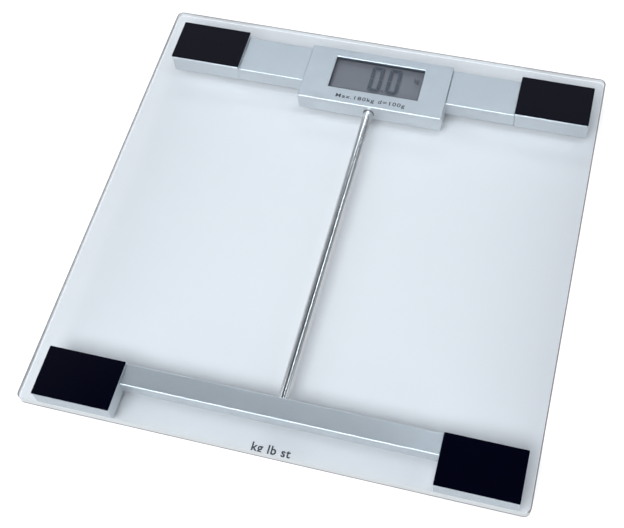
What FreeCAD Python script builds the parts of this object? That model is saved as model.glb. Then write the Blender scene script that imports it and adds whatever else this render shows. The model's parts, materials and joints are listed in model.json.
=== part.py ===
import FreeCAD, Part
import math
import os
import re
import Sketcher

# A glass bathroom scale. The glass stands on four sensor feet, each in its own small housing;
# two rear bars and a front bar carry the leads, a thin tube takes them from the front bar to
# the display housing. The frame's origin is on the floor under the middle of the glass,
# +Y points to the display end, +X to the right, +Z up. All lengths are millimetres.

SIZES = [
    # alias, value, what it is
    ("over", 1.0, "how far a cutting solid stands out of what it cuts"),
    ("glass_side", 300.0, "side of the square glass platform"),
    ("glass_thick", 6.0, "tempered glass thickness"),
    ("glass_low", 18.0, "height of the glass underside above the floor"),
    ("glass_corner", 4.0, "radius of the platform's corners"),
    ("glass_bevel", 0.3, "ground bevel round both faces of the glass"),
    ("foot_x", 119.7, "distance of each foot station from the middle, across"),
    ("foot_y", 128.6, "distance of each foot station from the middle, front to back"),
    ("foot_long", 48.3, "foot housing, across"),
    ("foot_deep", 31.4, "foot housing, front to back"),
    ("foot_low", 4.5, "height of the foot housing's lower rim"),
    ("tape_thick", 1.0, "black adhesive pad between housing and glass"),
    ("wall", 1.6, "wall thickness of the moulded housings"),
    ("corner", 1.0, "radius of the housings' upright edges"),
    ("rim", 0.7, "radius of the housings' upper edges"),
    ("fit_gap", 0.1, "gap all round a cover inside its housing"),
    ("cover_thick", 1.5, "thickness of the lower covers"),
    ("well_radius", 12.5, "hole in the foot cover for the foot"),
    ("cup_radius", 12.0, "radius of the foot's plastic cup"),
    ("cup_low", 1.0, "height of the cup's lower rim"),
    ("flange_radius", 13.5, "radius of the flange that keeps the cup in its cover"),
    ("flange_low", 6.3, "underside of that flange"),
    ("flange_thick", 1.0, "thickness of that flange"),
    ("button_radius", 4.0, "radius of the cup's centre boss under the load cell"),
    ("foot_travel", 0.8, "how far a foot can press up into its housing"),
    ("stop_gap", 0.1, "gap left above the boss at full travel"),
    ("rubber_radius", 10.0, "radius of the rubber foot"),
    ("rubber_thick", 2.0, "thickness of the rubber foot"),
    ("rubber_bevel", 0.4, "bevel round the rubber foot's lower face"),
    ("rubber_gap", 0.05, "gap round the rubber foot in its cup"),
    ("cell_long", 34.0, "load cell stamping, across"),
    ("cell_deep", 26.0, "load cell stamping, front to back"),
    ("cell_low", 10.4, "underside of the load cell"),
    ("cell_thick", 1.6, "steel thickness of the load cell"),
    ("tongue_wide", 10.0, "width of the load cell's tongue"),
    ("tongue_long", 18.0, "length of the load cell's tongue"),
    ("slot_wide", 1.8, "width of the punched slot round the tongue"),
    ("rib_wide", 3.0, "width of the ribs that hold the load cell's side arms"),
    ("rib_long", 10.0, "length of those ribs"),
    ("gauge_long", 6.0, "strain gauge patch, along the tongue"),
    ("gauge_wide", 4.0, "strain gauge patch, across the tongue"),
    ("gauge_thick", 0.15, "strain gauge patch thickness"),
    ("lead_door_wide", 6.0, "width of the openings that pass the leads"),
    ("lead_door_tall", 6.0, "height of the openings that pass the leads"),
    ("lead_door_low", 7.4, "lower edge of those openings"),
    ("lead_y", 119.6, "line of the leads through the bars, from the middle"),
    ("bar_wall", 1.5, "wall thickness of the bars"),
    ("rear_bar_deep", 28.6, "rear bar, front to back"),
    ("rear_bar_low", 5.0, "lower rim of the rear bars"),
    ("rear_bar_top", 16.1, "top of the rear bars"),
    ("front_bar_deep", 13.5, "front bar, front to back"),
    ("front_bar_low", 6.0, "lower rim of the front bar"),
    ("front_bar_top", 16.0, "top of the front bar"),
    ("front_cover_thick", 0.9, "thickness of the front bar's lower strip"),
    ("display_long", 98.7, "display housing, across"),
    ("display_deep", 44.6, "display housing, front to back"),
    ("display_y", 121.0, "middle of the display housing"),
    ("display_low", 5.0, "lower rim of the display housing"),
    ("display_top", 17.7, "top of the display housing"),
    ("display_wall", 1.8, "wall thickness of the display housing"),
    ("window_long", 61.7, "display window, across"),
    ("window_deep", 26.2, "display window, front to back"),
    ("window_y", 123.5, "middle of the display window"),
    ("window_drop", 2.8, "depth of the window's wall"),
    ("window_rim", 1.6, "thickness of the rim round the window, inside"),
    ("window_bevel", 0.3, "bevel round the window's upper edge"),
    ("lcd_long", 66.0, "liquid crystal panel, across"),
    ("lcd_deep", 30.0, "liquid crystal panel, front to back"),
    ("lcd_thick", 2.4, "liquid crystal panel thickness"),
    ("lcd_gap", 0.1, "gap between the panel and the window's rim"),
    ("holder_wall", 0.9, "wall of the frame that holds the panel"),
    ("holder_drop", 0.8, "how far the holder stays below the panel's face"),
    ("strip_long", 60.0, "rubber contact strip, across"),
    ("strip_deep", 2.0, "rubber contact strip, front to back"),
    ("strip_inset", 2.0, "contact strip's distance from the panel's rear edge"),
    ("board_long", 74.0, "circuit board, across"),
    ("board_deep", 34.5, "circuit board, front to back"),
    ("board_y", 122.25, "middle of the circuit board"),
    ("board_low", 9.85, "underside of the circuit board"),
    ("board_thick", 1.0, "circuit board thickness"),
    ("tube_radius", 3.3, "outer radius of the chromed tube"),
    ("tube_wall", 0.5, "wall of the chromed tube"),
    ("tube_high", 10.7, "height of the tube's axis"),
    ("front_hole", 3.5, "radius of the tube's hole in the front bar"),
    ("rear_hole", 3.8, "radius of the tube's hole in the display housing"),
    ("front_collar", 3.75, "outer radius of the collar in the front bar"),
    ("rear_collar", 4.1, "outer radius of the collar in the display housing"),
    ("collar_long", 2.0, "length of those collars"),
    ("coin_x", -26.0, "middle of the coin cell, across"),
    ("coin_y", 121.0, "middle of the coin cell, front to back"),
    ("coin_radius", 10.0, "radius of the coin cell"),
    ("coin_thick", 2.95, "height of the coin cell's can"),
    ("coin_cap_radius", 8.8, "radius of the coin cell's cap"),
    ("coin_cap_thick", 0.25, "height of the coin cell's cap"),
    ("coin_low", 6.4, "underside of the coin cell"),
    ("coin_gap", 0.3, "gap between the coin cell and its well"),
    ("nest_side", 28.0, "outer side of the block round the battery well"),
    ("nest_top", 9.4, "top of that block"),
    ("door_side", 24.0, "side of the battery door"),
    ("door_thick", 1.2, "thickness of the battery door"),
    ("door_gap", 0.2, "gap all round the battery door"),
    ("door_spare", 0.1, "gap over the closed battery door"),
    ("nail_long", 8.0, "thumb notch in front of the door, across"),
    ("nail_deep", 4.0, "thumb notch, front to back"),
    ("nail_tall", 0.8, "depth of the thumb notch"),
    ("nail_shift", 1.5, "middle of the thumb notch from the door's front edge"),
    ("grip_long", 10.0, "grip grooves in the door, across"),
    ("grip_wide", 0.6, "width of a grip groove"),
    ("grip_deep", 0.3, "depth of a grip groove"),
    ("grip_pitch", 1.4, "distance from one grip groove to the next"),
    ("grip_first", 3.0, "first grip groove from the door's front edge"),
    ("hinge_radius", 1.0, "radius of the battery door's hinge barrel"),
    ("hinge_pin_radius", 0.7, "radius of the hinge pins"),
    ("hinge_pin_long", 1.5, "how far a hinge pin stands out of the door"),
    ("hinge_pin_gap", 0.05, "running gap round a hinge pin"),
    ("hinge_high", 6.0, "height of the hinge axis"),
    ("contact_thick", 0.25, "thickness of the battery contacts"),
    ("contact_wide", 5.0, "width of the battery contacts"),
    ("contact_foot", 0.4, "foot of the side contact above the coin cell's underside"),
    ("contact_gap", 0.2, "gap on each side of a battery contact in its slot"),
    ("key_x", 16.0, "middle of the unit button, across"),
    ("key_y", 121.0, "middle of the unit button, front to back"),
    ("key_radius", 3.8, "radius of the unit button"),
    ("key_hole_gap", 0.2, "gap round the unit button"),
    ("key_low", 5.3, "outer face of the unit button"),
    ("key_dish", 0.3, "depth of the finger dish in the unit button"),
    ("key_flange_radius", 4.8, "radius of the unit button's flange"),
    ("key_flange_low", 6.6, "underside of the unit button's flange"),
    ("key_flange_thick", 0.5, "thickness of the unit button's flange"),
    ("switch_side", 6.0, "side of the push switch under the board"),
    ("switch_tall", 2.2, "height of the push switch"),
    ("plunger_radius", 1.5, "radius of the push switch's plunger"),
    ("plunger_gap", 0.08, "gap round the plunger in the switch"),
    ("plunger_tall", 1.0, "length of the plunger"),
    ("plunger_spare", 0.1, "gap over the plunger in the switch"),
    ("sensor_x", 6.0, "tap sensor, across"),
    ("sensor_y", 114.0, "tap sensor, front to back"),
    ("sensor_radius", 1.7, "radius of the tap sensor's can"),
    ("sensor_tall", 2.6, "height of the tap sensor's can"),
    ("chip_x", 14.0, "resin drop, across"),
    ("chip_y", 133.5, "resin drop, front to back"),
    ("chip_radius", 5.0, "radius of the resin drop over the controller chip"),
    ("chip_tall", 1.3, "height of that resin drop"),
    ("screw_head_radius", 2.0, "radius of the screw heads"),
    ("screw_head_thick", 0.9, "thickness of the screw heads"),
    ("screw_radius", 1.0, "radius of the screw shanks"),
    ("screw_long", 5.0, "length of the screw shanks"),
    ("board_screw_long", 3.0, "length of the board screws' shanks"),
    ("board_bore", 2.4, "depth of the bores for the board screws"),
    ("board_screw_right", 28.0, "board screws on the right, across"),
    ("board_screw_left", -8.0, "board screw on the left, across"),
    ("board_screw_front", 112.0, "front board screw, front to back"),
    ("board_screw_rear", 131.0, "rear board screws, front to back"),
    ("screw_gap", 0.1, "gap round a screw in a cover"),
    ("recess_long", 2.2, "length of a screw's cross recess"),
    ("recess_wide", 0.5, "width of a screw's cross recess"),
    ("recess_deep", 0.5, "depth of a screw's cross recess"),
    ("post_radius", 2.3, "radius of the screw posts"),
    ("foot_screw_x", 19.9, "foot cover screws, from the station's middle, across"),
    ("foot_screw_y", 8.0, "inner foot cover screw, from the station's middle, front to back"),
    ("display_screw_x", 43.6, "display base screws, from the middle"),
    ("display_screw_y", 16.4, "display base screws, from the housing's middle"),
    ("lead_radius", 0.7, "radius of a sensor's lead bundle"),
    ("lead_bend", 4.2, "largest bend radius of a lead, about three diameters"),
    ("lead_x", 0.9, "offset of each front lead from the tube's axis"),
    ("lead_clear", 0.3, "gap between a lead's start and its load cell"),
    ("lead_rest", 0.05, "gap between a lead's end and the board"),
    ("lead_start_x", 4.0, "start of a lead from the tongue's side, across"),
    ("lead_start_y", 3.0, "start of a lead from its station's middle, front to back"),
    ("lead_ramp", 5.0, "half the run in which a lead passes a foot housing's wall"),
    ("lead_sag", 0.5, "how far the rear leads lie below the tube's axis"),
    ("lead_climb_far", 16.0, "where a rear lead starts to climb, from the board's side"),
    ("lead_climb_near", 6.0, "where a rear lead has climbed, from the board's side"),
    ("lead_end", 1.5, "how far a rear lead reaches over the board"),
    ("lead_swing", 1.0, "how far the front leads swing outwards in the front bar"),
    ("lead_rise_far", 4.0, "where a front lead starts to climb, from the board's front"),
    ("lead_rise_near", 0.5, "where a front lead has climbed, from the board's front"),
    ("lead_stop", 2.0, "how far a front lead reaches over the board"),
]
ALIASES = {row[0] for row in SIZES}
CORNERS = {
    # tag: sign across, sign front to back
    "rear_left": (-1, 1),
    "rear_right": (1, 1),
    "front_left": (-1, -1),
    "front_right": (1, -1),
}
SIDES = {"left": -1, "right": 1}

doc = FreeCAD.newDocument("bathroom_scale")
sheet = doc.addObject("Spreadsheet::Sheet", "Sizes")
for line, (alias, value, note) in enumerate(SIZES, start=1):
    sheet.set(f"A{line}", note)
    sheet.set(f"B{line}", str(value))
    sheet.setAlias(f"B{line}", alias)
doc.recompute()

sub_parts = []


# ---------------------------------------------------------------- helpers

def size(alias):
    """The sheet's number for an alias."""
    return float(sheet.get(alias))


def bind(thing, path, formula):
    """Bind a property to a formula that is written with bare aliases of the sheet."""
    text = re.sub(r"[a-z]\w*", lambda word: f"Sizes.{word.group()}"
                  if word.group() in ALIASES else word.group(), str(formula))
    thing.setExpression(path, text)


def put(thing, x, y, z):
    """Bind a thing's place."""
    for axis, formula in zip("xyz", (x, y, z)):
        bind(thing, f".Placement.Base.{axis}", formula)


def keep(thing, label):
    """Register a finished sub-part under the name of its file."""
    thing.Label = label
    sub_parts.append(thing)
    return thing


def box(name, middle, sides, low):
    """Box centred on middle (x, y), standing on the height low."""
    solid = doc.addObject("Part::Box", name)
    for prop, formula in zip(("Length", "Width", "Height"), sides):
        bind(solid, prop, formula)
    put(solid, f"{middle[0]} - ({sides[0]}) / 2", f"{middle[1]} - ({sides[1]}) / 2", low)
    return solid


def rod(name, middle, radius, low, tall, along="z"):
    """Cylinder from low, standing up, or lying along x or y from that coordinate."""
    solid = doc.addObject("Part::Cylinder", name)
    bind(solid, "Radius", radius)
    bind(solid, "Height", tall)
    turn = {"z": (0, 0, 1, 0), "x": (0, 1, 0, 90), "y": (1, 0, 0, -90)}[along]
    axis, angle = FreeCAD.Vector(*turn[:3]), turn[3]
    solid.Placement = FreeCAD.Placement(FreeCAD.Vector(), FreeCAD.Rotation(axis, angle))
    if along == "z":
        put(solid, middle[0], middle[1], low)
    elif along == "x":
        put(solid, low, middle[0], middle[1])
    else:
        put(solid, middle[0], low, middle[1])
    return solid


def fuse(name, *solids):
    joined = doc.addObject("Part::MultiFuse", name)
    joined.Shapes = list(solids)
    return joined


def cut(name, base, *tools):
    """Base less the tools."""
    result = doc.addObject("Part::Cut", name)
    result.Base = base
    result.Tool = tools[0] if len(tools) == 1 else fuse(f"{name}_tools", *tools)
    return result


def group(name, solids):
    """Several equal solids in one sub-part."""
    compound = doc.addObject("Part::Compound", name)
    compound.Links = solids
    return compound


def new_body(name):
    return doc.addObject("PartDesign::Body", name)


def sketch_on(body, name, middle, level, plane="XY_Plane"):
    """Sketch on one of the body's own planes, its origin at middle, raised to level."""
    sketch = body.newObject("Sketcher::SketchObject", name)
    face = [item for item in body.Origin.OriginFeatures if item.Role == plane][0]
    sketch.AttachmentSupport = [(face, "")]
    sketch.MapMode = "FlatFace"
    for axis, formula in zip("xyz", (*middle, level)):
        bind(sketch, f".AttachmentOffset.Base.{axis}", formula)
    return sketch


def rectangle(body, name, middle, sides, level):
    """Rectangle centred on middle, its sides bound to the sheet."""
    sketch = sketch_on(body, name, middle, level)
    corners = [FreeCAD.Vector(x, y, 0) for x, y in ((-5, -5), (5, -5), (5, 5), (-5, 5))]
    for index in range(4):
        sketch.addGeometry(Part.LineSegment(corners[index], corners[(index + 1) % 4]), False)
    for index in range(4):
        sketch.addConstraint(Sketcher.Constraint("Coincident", index, 2, (index + 1) % 4, 1))
        level_kind = "Horizontal" if index % 2 == 0 else "Vertical"
        sketch.addConstraint(Sketcher.Constraint(level_kind, index))
    sketch.addConstraint(Sketcher.Constraint("Symmetric", 0, 1, 1, 2, -1, 1))
    across = sketch.addConstraint(Sketcher.Constraint("DistanceX", 0, 1, 0, 2, 10.0))
    deep = sketch.addConstraint(Sketcher.Constraint("DistanceY", 1, 1, 1, 2, 10.0))
    for index, word, formula in ((across, "across", sides[0]), (deep, "deep", sides[1])):
        sketch.renameConstraint(index, word)
        bind(sketch, f"Constraints.{word}", formula)
    return sketch


def circle(body, name, middle, radius, level, plane="XY_Plane"):
    """Circle round middle, its radius bound to the sheet."""
    sketch = sketch_on(body, name, middle, level, plane)
    ring = Part.Circle(FreeCAD.Vector(), FreeCAD.Vector(0, 0, 1), 5)
    sketch.addGeometry(ring, False)
    sketch.addConstraint(Sketcher.Constraint("Coincident", 0, 3, -1, 1))
    index = sketch.addConstraint(Sketcher.Constraint("Radius", 0, 5.0))
    sketch.renameConstraint(index, "round")
    bind(sketch, "Constraints.round", radius)
    return sketch


def pad(body, sketch, length):
    feature = body.newObject("PartDesign::Pad", f"{sketch.Name}_pad")
    feature.Profile = sketch
    bind(feature, "Length", length)
    return feature


def pocket(body, sketch, length, along_normal=True):
    """Cut the sketch's outline into the body, along its plane's normal or against it."""
    doc.recompute()
    before = body.Shape.Volume
    feature = body.newObject("PartDesign::Pocket", f"{sketch.Name}_pocket")
    feature.Profile = sketch
    feature.Reversed = along_normal
    bind(feature, "Length", length)
    doc.recompute()
    if body.Shape.Volume > before - 0.01:
        raise RuntimeError(f"{feature.Name} cuts nothing")
    return feature


def edges_where(body, test):
    """Names of the body's present edges that pass a test on their bounding box."""
    doc.recompute()
    edges = body.Tip.Shape.Edges
    return [f"Edge{index}" for index, edge in enumerate(edges, start=1) if test(edge.BoundBox)]


def upright(bounds):
    return bounds.ZLength > 1.0 and bounds.XLength + bounds.YLength < 1e-6


def at_height(level):
    return lambda bounds: abs(bounds.ZMin - level) + abs(bounds.ZMax - level) < 1e-6


def dress(body, kind, names, amount):
    """Fillet or chamfer the named edges of the body's tip."""
    base = body.Tip
    feature = body.newObject(f"PartDesign::{kind}", f"{body.Name}_{kind.lower()}_{len(body.Group)}")
    feature.Base = (base, names)
    bind(feature, "Radius" if kind == "Fillet" else "Size", amount)
    doc.recompute()
    return feature


def shell(name, sides, low, top, wall_name, corner_name="corner", open_ends=False):
    """Moulded cover, open below: a block with rounded edges, hollowed from underneath."""
    body = new_body(name)
    block = rectangle(body, f"{name}_outline", (0, 0), sides, low)
    pad(body, block, f"({top}) - ({low})")
    dress(body, "Fillet", edges_where(body, upright), corner_name)
    height = body.Tip.Shape.BoundBox.ZMax
    dress(body, "Fillet", edges_where(body, at_height(height)), "rim")
    inner_long = f"{sides[0]} + 2 * over" if open_ends else f"{sides[0]} - 2 * {wall_name}"
    inner = rectangle(body, f"{name}_hollow", (0, 0),
                      (inner_long, f"{sides[1]} - 2 * {wall_name}"), low)
    pocket(body, inner, f"({top}) - ({low}) - {wall_name}")
    return body


def screw(name, x, y, low, long_name, head_down=True):
    """Pan-head screw with a cross recess. Its head faces down, or up when driven from above."""
    head = rod(f"{name}_head", (x, y), "screw_head_radius", low, "screw_head_thick")
    shank_low = f"({low}) + screw_head_thick" if head_down else f"({low}) - {long_name}"
    shank = rod(f"{name}_shank", (x, y), "screw_radius", shank_low, long_name)
    recess_low = low if head_down else f"({low}) + screw_head_thick - recess_deep"
    bars = [box(f"{name}_recess_{index}", (x, y), (*sides, "recess_deep"), recess_low)
            for index, sides in enumerate((("recess_long", "recess_wide"),
                                           ("recess_wide", "recess_long")))]
    return cut(name, fuse(f"{name}_blank", head, shank), *bars)


# ---------------------------------------------------------------- the glass

def glass_platform():
    """Square plate of tempered glass with rounded corners and a ground bevel."""
    body = new_body("glass_platform")
    outline = rectangle(body, "glass_outline", (0, 0), ("glass_side", "glass_side"), "glass_low")
    pad(body, outline, "glass_thick")
    dress(body, "Fillet", edges_where(body, upright), "glass_corner")
    low = size("glass_low")
    high = low + size("glass_thick")
    rims = [name for level in (low, high) for name in edges_where(body, at_height(level))]
    dress(body, "Chamfer", rims, "glass_bevel")
    keep(body, "glass_platform")


# ---------------------------------------------------------------- one foot station

def foot_station(tag, across, along):
    """Everything at one corner, from the adhesive pad down to the rubber foot."""
    x = f"{across} * foot_x"
    y = f"{along} * foot_y"
    top = "glass_low - tape_thick"
    keep(box(f"adhesive_{tag}", (x, y), ("foot_long", "foot_deep", "tape_thick"), top),
         f"adhesive_pad_{tag}")

    housing = shell(f"housing_{tag}", ("foot_long", "foot_deep"), "foot_low", top, "wall")
    put(housing, x, y, 0)
    door = rectangle(housing, f"lead_door_{tag}",
                     (f"-({across}) * (foot_long - wall) / 2", f"-({along}) * (foot_y - lead_y)"),
                     ("2 * wall", "lead_door_wide"), "lead_door_low")
    pocket(housing, door, "lead_door_tall")
    ceiling = f"{top} - wall"
    for index, sign in enumerate((-1, 1)):
        rib = rectangle(housing, f"rib_{tag}_{index}", (f"{sign} * (cell_long - rib_wide) / 2", 0),
                        ("rib_wide", "rib_long"), "cell_low + cell_thick")
        pad(housing, rib, f"{ceiling} - cell_low - cell_thick")
    screw_places = ((f"({across}) * foot_screw_x", "0"),
                    (f"-({across}) * foot_screw_x", f"({along}) * foot_screw_y"))
    for index, place in enumerate(screw_places):
        post = circle(housing, f"post_{tag}_{index}", place, "post_radius", "foot_low + cover_thick")
        pad(housing, post, f"{ceiling} - foot_low - cover_thick")
        bore = circle(housing, f"bore_{tag}_{index}", place, "screw_radius",
                      "foot_low + cover_thick")
        pocket(housing, bore, "screw_long")
    keep(housing, f"foot_housing_{tag}")

    plate = box(f"cover_plate_{tag}", (x, y),
                ("foot_long - 2 * (wall + fit_gap)", "foot_deep - 2 * (wall + fit_gap)",
                 "cover_thick"), "foot_low")
    well = rod(f"cover_well_{tag}", (x, y), "well_radius", "foot_low - over", "cover_thick + 2 * over")
    holes = []
    for index, (dx, dy) in enumerate(screw_places):
        place = (f"{x} + {dx}", f"{y} + {dy}")
        holes.append(rod(f"cover_sink_{tag}_{index}", place, "screw_head_radius + screw_gap",
                         "foot_low - over", "screw_head_thick + over"))
        holes.append(rod(f"cover_hole_{tag}_{index}", place, "screw_radius + screw_gap",
                         "foot_low - over", "cover_thick + 2 * over"))
    keep(cut(f"cover_{tag}", plate, well, *holes), f"foot_cover_{tag}")

    stamping = box(f"cell_plate_{tag}", (x, y), ("cell_long", "cell_deep", "cell_thick"), "cell_low")
    slot_y = f"{y} - ({along}) * slot_wide"
    punched = box(f"cell_punch_{tag}", (x, slot_y),
                  ("tongue_wide + 2 * slot_wide", "tongue_long", "cell_thick + 2 * over"),
                  "cell_low - over")
    tongue = box(f"cell_tongue_{tag}", (x, y),
                 ("tongue_wide", "tongue_long", "cell_thick + 4 * over"), "cell_low - 2 * over")
    keep(cut(f"load_cell_{tag}_body", stamping, cut(f"cell_slot_{tag}", punched, tongue)),
         f"load_cell_{tag}")

    cup = fuse(f"cup_solid_{tag}",
               rod(f"cup_body_{tag}", (x, y), "cup_radius", "cup_low", "flange_low - cup_low"),
               rod(f"cup_flange_{tag}", (x, y), "flange_radius", "flange_low", "flange_thick"),
               rod(f"cup_boss_{tag}", (x, y), "button_radius", "flange_low",
                   "cell_low - foot_travel - stop_gap - flange_low"))
    seat = rod(f"cup_seat_{tag}", (x, y), "rubber_radius + rubber_gap", "cup_low - over",
               "rubber_thick - cup_low + over")
    keep(cut(f"cup_{tag}", cup, seat), f"foot_cup_{tag}")

    rubber = new_body(f"rubber_{tag}")
    put(rubber, x, y, 0)
    disc = circle(rubber, f"rubber_outline_{tag}", (0, 0), "rubber_radius", 0)
    pad(rubber, disc, "rubber_thick")
    dress(rubber, "Chamfer", edges_where(rubber, at_height(0)), "rubber_bevel")
    keep(rubber, f"rubber_foot_{tag}")

    gauge = box(f"gauge_{tag}", (x, f"{y} + ({along}) * (tongue_long - gauge_long) / 2"),
                ("gauge_wide", "gauge_long", "gauge_thick"), "cell_low + cell_thick")
    screws = [screw(f"cover_screw_{tag}_{index}", f"{x} + {dx}", f"{y} + {dy}", "foot_low",
                    "screw_long")
              for index, (dx, dy) in enumerate(screw_places)]
    return gauge, screws


# ---------------------------------------------------------------- the bars and the tube

def rear_bar(side, across):
    """Covered channel between a rear foot housing and the display housing."""
    inner_end = "display_long / 2"
    outer_end = "(foot_x - foot_long / 2)"
    length = f"{outer_end} - {inner_end}"
    x = f"({across}) * ({outer_end} + {inner_end}) / 2"
    y = "foot_y - foot_deep / 2 + rear_bar_deep / 2"
    bar = shell(f"rear_channel_{side}", (length, "rear_bar_deep"), "rear_bar_low",
                "rear_bar_top", "bar_wall", "fit_gap", open_ends=True)
    put(bar, x, y, 0)
    keep(bar, f"rear_bar_{side}")
    keep(box(f"rear_strip_{side}", (x, y),
             (f"{length} - 2 * fit_gap", "rear_bar_deep - 2 * (bar_wall + fit_gap)",
              "cover_thick"), "rear_bar_low"), f"rear_bar_cover_{side}")


def front_bar():
    """Covered channel between the two front foot housings, with a hole for the tube."""
    length = "2 * foot_x - foot_long"
    y = "-(foot_y - foot_deep / 2 + front_bar_deep / 2)"
    bar = shell("front_channel", (length, "front_bar_deep"), "front_bar_low", "front_bar_top",
                "bar_wall", "fit_gap", open_ends=True)
    put(bar, 0, y, 0)
    hole = circle(bar, "front_tube_hole", (0, "tube_high"), "front_hole",
                  "-front_bar_deep / 2 - over", "XZ_Plane")
    pocket(bar, hole, "bar_wall + 2 * over")
    keep(bar, "front_bar")
    keep(box("front_strip", (0, y), (f"{length} - 2 * fit_gap",
             "front_bar_deep - 2 * (bar_wall + fit_gap)", "front_cover_thick"),
             "front_bar_low"), "front_bar_cover")


def cross_tube():
    """Chromed tube for the front leads, held by a collar behind each wall it passes."""
    front = "(foot_deep / 2 - foot_y - bar_wall - collar_long)"
    rear = "(display_y - display_deep / 2 + display_wall + collar_long)"
    middle = ("0", "tube_high")
    outer = rod("tube_outer", middle, "tube_radius", front, f"{rear} - {front}", along="y")
    bore = rod("tube_bore", middle, "tube_radius - tube_wall", f"{front} - over",
               f"{rear} - {front} + 2 * over", along="y")
    keep(cut("tube", outer, bore), "cross_tube")
    collars = []
    for name, start in (("front", front), ("rear", f"{rear} - collar_long")):
        ring = rod(f"collar_{name}_outer", middle, f"{name}_collar", start, "collar_long",
                   along="y")
        eye = rod(f"collar_{name}_eye", middle, "tube_radius", f"{start} - over",
                  "collar_long + 2 * over", along="y")
        collars.append(cut(f"collar_{name}", ring, eye))
    keep(group("collars", collars), "tube_collars")


# ---------------------------------------------------------------- the display housing

def display_screw_places():
    return [(f"({across}) * display_screw_x", f"display_y + ({along}) * display_screw_y")
            for across, along in CORNERS.values()]


def display_housing():
    """Upper shell with the window, the holes for the leads and the tube, and the screw posts."""
    body = shell("display_shell", ("display_long", "display_deep"), "display_low", "display_top",
                 "display_wall")
    put(body, 0, "display_y", 0)
    ceiling = "display_top - display_wall"
    frame_low = "display_top - window_drop"
    window_at = ("0", "window_y - display_y")
    frame = rectangle(body, "window_frame", window_at,
                      ("window_long + 2 * window_rim", "window_deep + 2 * window_rim"), frame_low)
    pad(body, frame, f"{ceiling} - ({frame_low})")
    opening = rectangle(body, "window_opening", window_at, ("window_long", "window_deep"),
                        f"{frame_low} - over")
    pocket(body, opening, "window_drop + 2 * over")
    reach_x = size("window_long") / 2 + size("over")
    reach_y = size("display_deep") / 2 - 2 * size("over")
    top = size("display_top")
    upper = edges_where(body, lambda bounds: at_height(top)(bounds)
                        and max(abs(bounds.XMin), abs(bounds.XMax)) < reach_x
                        and bounds.YMax < reach_y)
    dress(body, "Chamfer", upper, "window_bevel")
    for side, across in SIDES.items():
        door = rectangle(body, f"display_lead_door_{side}",
                         (f"({across}) * (display_long - display_wall) / 2", "lead_y - display_y"),
                         ("2 * display_wall", "lead_door_wide"), "lead_door_low")
        pocket(body, door, "lead_door_tall")
    hole = circle(body, "display_tube_hole", ("0", "tube_high"), "rear_hole",
                  "display_deep / 2 + over", "XZ_Plane")
    pocket(body, hole, "display_wall + 2 * over", along_normal=False)
    for index, (x, y) in enumerate(display_screw_places()):
        place = (x, f"{y} - display_y")
        post = circle(body, f"display_post_{index}", place, "post_radius",
                      "display_low + cover_thick")
        pad(body, post, f"{ceiling} - display_low - cover_thick")
        bore = circle(body, f"display_bore_{index}", place, "screw_radius",
                      "display_low + cover_thick")
        pocket(body, bore, "screw_long")
    keep(body, "display_housing")


BOARD_SCREWS = (("board_screw_right", "board_screw_front"),
                ("board_screw_right", "board_screw_rear"),
                ("board_screw_left", "board_screw_rear"))


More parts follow.
